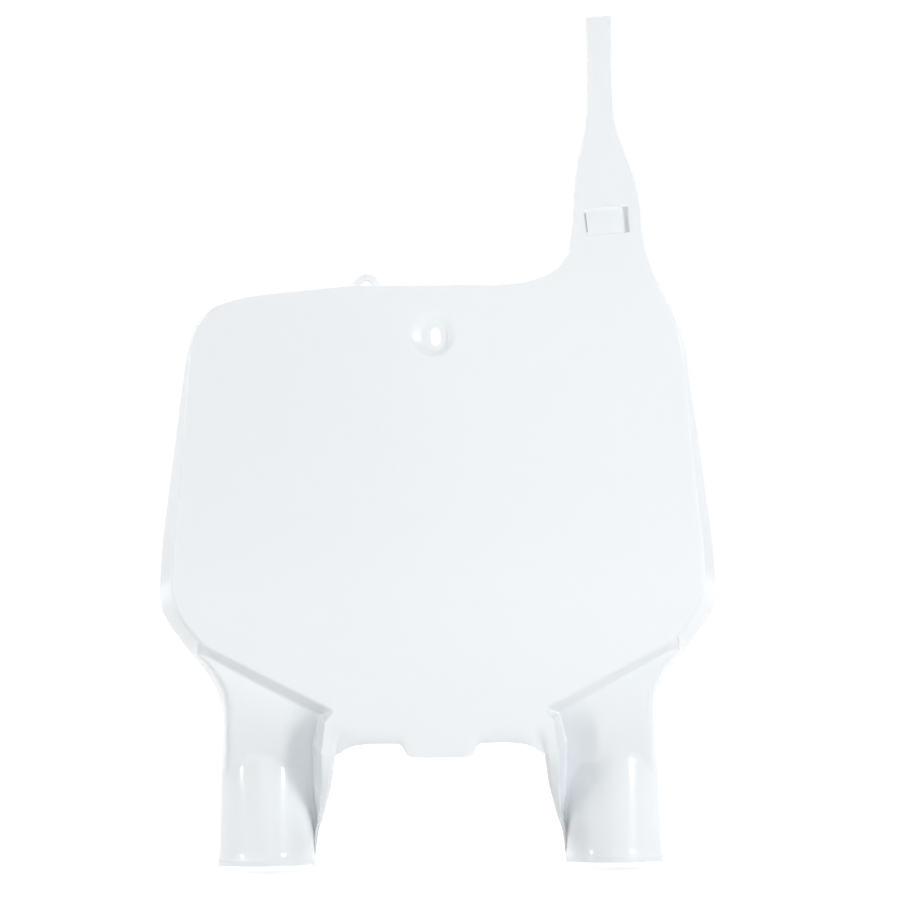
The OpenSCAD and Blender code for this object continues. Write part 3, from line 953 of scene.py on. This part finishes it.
def direction(azimuth, rise):
    """Direction from the board, with azimuth 0 at its front and growing to the right."""
    return Vector((math.sin(azimuth) * math.cos(rise), -math.cos(azimuth) * math.cos(rise), math.sin(rise)))


class SetStage(bpy.types.Operator):
    """Set the pale floor, the white surroundings, the soft studio light and the camera"""

    bl_idname = "number_board.set_stage"
    bl_label = "Set the stage"

    camera_turn = math.radians(-0.4)
    camera_rise = math.radians(2.3)
    camera_roll = math.radians(0.563)
    camera_distance = 1.8
    frame_width = 0.54
    aim = Vector((0.00795, 0.0, -0.06798))
    # Each lamp: name, azimuth, rise, width and height in metres, brightness, seen in reflections
    lamps = (
        ("low_left_fill", -45, -4, 1.0, 1.0, 1.8, False),
        ("low_front_fill", 10, -4, 1.0, 1.0, 3.0, False),
        ("low_right_softbox", 45, -4, 1.0, 1.0, 7.2, False),
        ("right_fill", 70, -4, 1.0, 1.0, 4.0, False),
        ("front_fill", 0, 12, 1.0, 1.0, 1.2, False),
        ("left_softbox", -60, 28, 1.0, 1.0, 4.0, False),
        ("left_rim_softbox", -110, 60, 1.0, 1.0, 11.0, False),
        ("right_rim_softbox", 110, 60, 1.0, 1.0, 8.0, False),
        ("top_softbox", 0, 85, 1.0, 1.0, 2.0, False),
        ("right_glint", 44, 5, 0.28, 0.2, 30.0, True),
        ("left_glint", -60, 4, 0.25, 0.2, 25.0, True),
    )
    lamp_distance = 2.2
    lamp_target = Vector((0, 0, -0.1))

    def execute(self, context):
        self.make_world(context)
        self.make_floor()
        self.make_lamps()
        self.make_camera(context)
        context.scene.view_settings.view_transform = "Standard"
        return {"FINISHED"}

    def make_world(self, context):
        world = bpy.data.worlds.new("white_surroundings")
        world.use_nodes = True
        context.scene.world = world
        shader = Shader(world.node_tree)
        camera = shader.node("ShaderNodeLightPath", output=0)
        glossy = shader.node("ShaderNodeLightPath", output=3)
        through = shader.node("ShaderNodeLightPath", output=6)
        seen = shader.node("ShaderNodeMath", {"operation": "MAXIMUM"}, {0: camera, 1: through})
        strength = seen + glossy * 0.8
        sky = shader.node("ShaderNodeBackground", None, {"Color": (1, 1, 1, 1), "Strength": strength})
        shader.node("ShaderNodeOutputWorld", None, {"Surface": sky})

    def make_floor(self):
        low = CAD_BOX[0][2] / MM - 0.5
        side, near, far = 3000, -2500, 1500
        corners = [(-side, near, low), (side, near, low), (side, far, low), (-side, far, low)]
        floor = new_object("floor", corners, [(0, 1, 2, 3)])
        material = bpy.data.materials.new("pale_floor")
        material.use_nodes = True
        shader = Shader(material.node_tree)
        camera = shader.node("ShaderNodeLightPath", output=0)
        glossy = shader.node("ShaderNodeLightPath", output=3)
        seen = camera + glossy
        paper = shader.node("ShaderNodeBsdfDiffuse", None, {"Color": (0.5, 0.5, 0.5, 1), "Roughness": 0.0})
        place = shader.node("ShaderNodeTexCoord", output=3)
        away = shader.node("ShaderNodeVectorMath", {"operation": "LENGTH"}, {0: place}, output=1)
        strength = seen * (0.55 + away * 0.4)
        glow = shader.node("ShaderNodeEmission", None, {"Color": (1, 1, 1, 1), "Strength": strength})
        both = shader.node("ShaderNodeAddShader", None, {0: paper, 1: glow})
        shader.node("ShaderNodeOutputMaterial", None, {"Surface": both})
        floor.data.materials.append(material)

    def make_lamps(self):
        for name, azimuth, rise, width, height, brightness, reflected in self.lamps:
            away = direction(math.radians(azimuth), math.radians(rise))
            data = bpy.data.lights.new(name, "AREA")
            data.shape = "RECTANGLE"
            data.size, data.size_y = width, height
            data.energy = brightness * math.pi * width * height
            lamp = bpy.data.objects.new(name, data)
            lamp.location = self.lamp_target + away * self.lamp_distance
            lamp.rotation_euler = away.to_track_quat("Z", "Y").to_euler()
            lamp.visible_glossy = reflected
            bpy.context.scene.collection.objects.link(lamp)

    def make_camera(self, context):
        data = bpy.data.cameras.new("photo_camera")
        data.sensor_fit = "HORIZONTAL"
        data.sensor_width = 36
        data.lens = 36 * self.camera_distance / self.frame_width
        data.clip_start, data.clip_end = 0.05, 50
        camera = bpy.data.objects.new("photo_camera", data)
        context.scene.collection.objects.link(camera)
        turn, rise = self.camera_turn, self.camera_rise
        back = direction(turn, rise)
        camera.matrix_world = (Matrix.Translation(self.aim + back * self.camera_distance)
                               @ back.to_track_quat("Z", "Y").to_matrix().to_4x4()
                               @ Matrix.Rotation(-self.camera_roll, 4, "Z"))
        context.scene.camera = camera


class NumberBoardPanel(bpy.types.Panel):
    """Number board tools in the sidebar"""

    bl_idname = "VIEW3D_PT_number_board"
    bl_label = "Number Board"
    bl_space_type = "VIEW_3D"
    bl_region_type = "UI"
    bl_category = "Number Board"

    def draw(self, context):
        settings = board_settings()
        for name in NumberBoardSettings.__annotations__:
            self.layout.prop(settings, name)
        for step in STEPS:
            self.layout.operator(step.bl_idname)


STEPS = (MouldSheet, SetStage)
CLASSES = (NumberBoardSettings, *STEPS, NumberBoardPanel)


def register():
    for item in CLASSES:
        bpy.utils.register_class(item)
    bpy.types.Scene.number_board = PointerProperty(type=NumberBoardSettings)


def unregister():
    del bpy.types.Scene.number_board
    for item in reversed(CLASSES):
        bpy.utils.unregister_class(item)


def main():
    register()
    for step in STEPS:
        group, name = step.bl_idname.split(".")
        getattr(getattr(bpy.ops, group), name)()


if __name__ == "__main__":
    main()
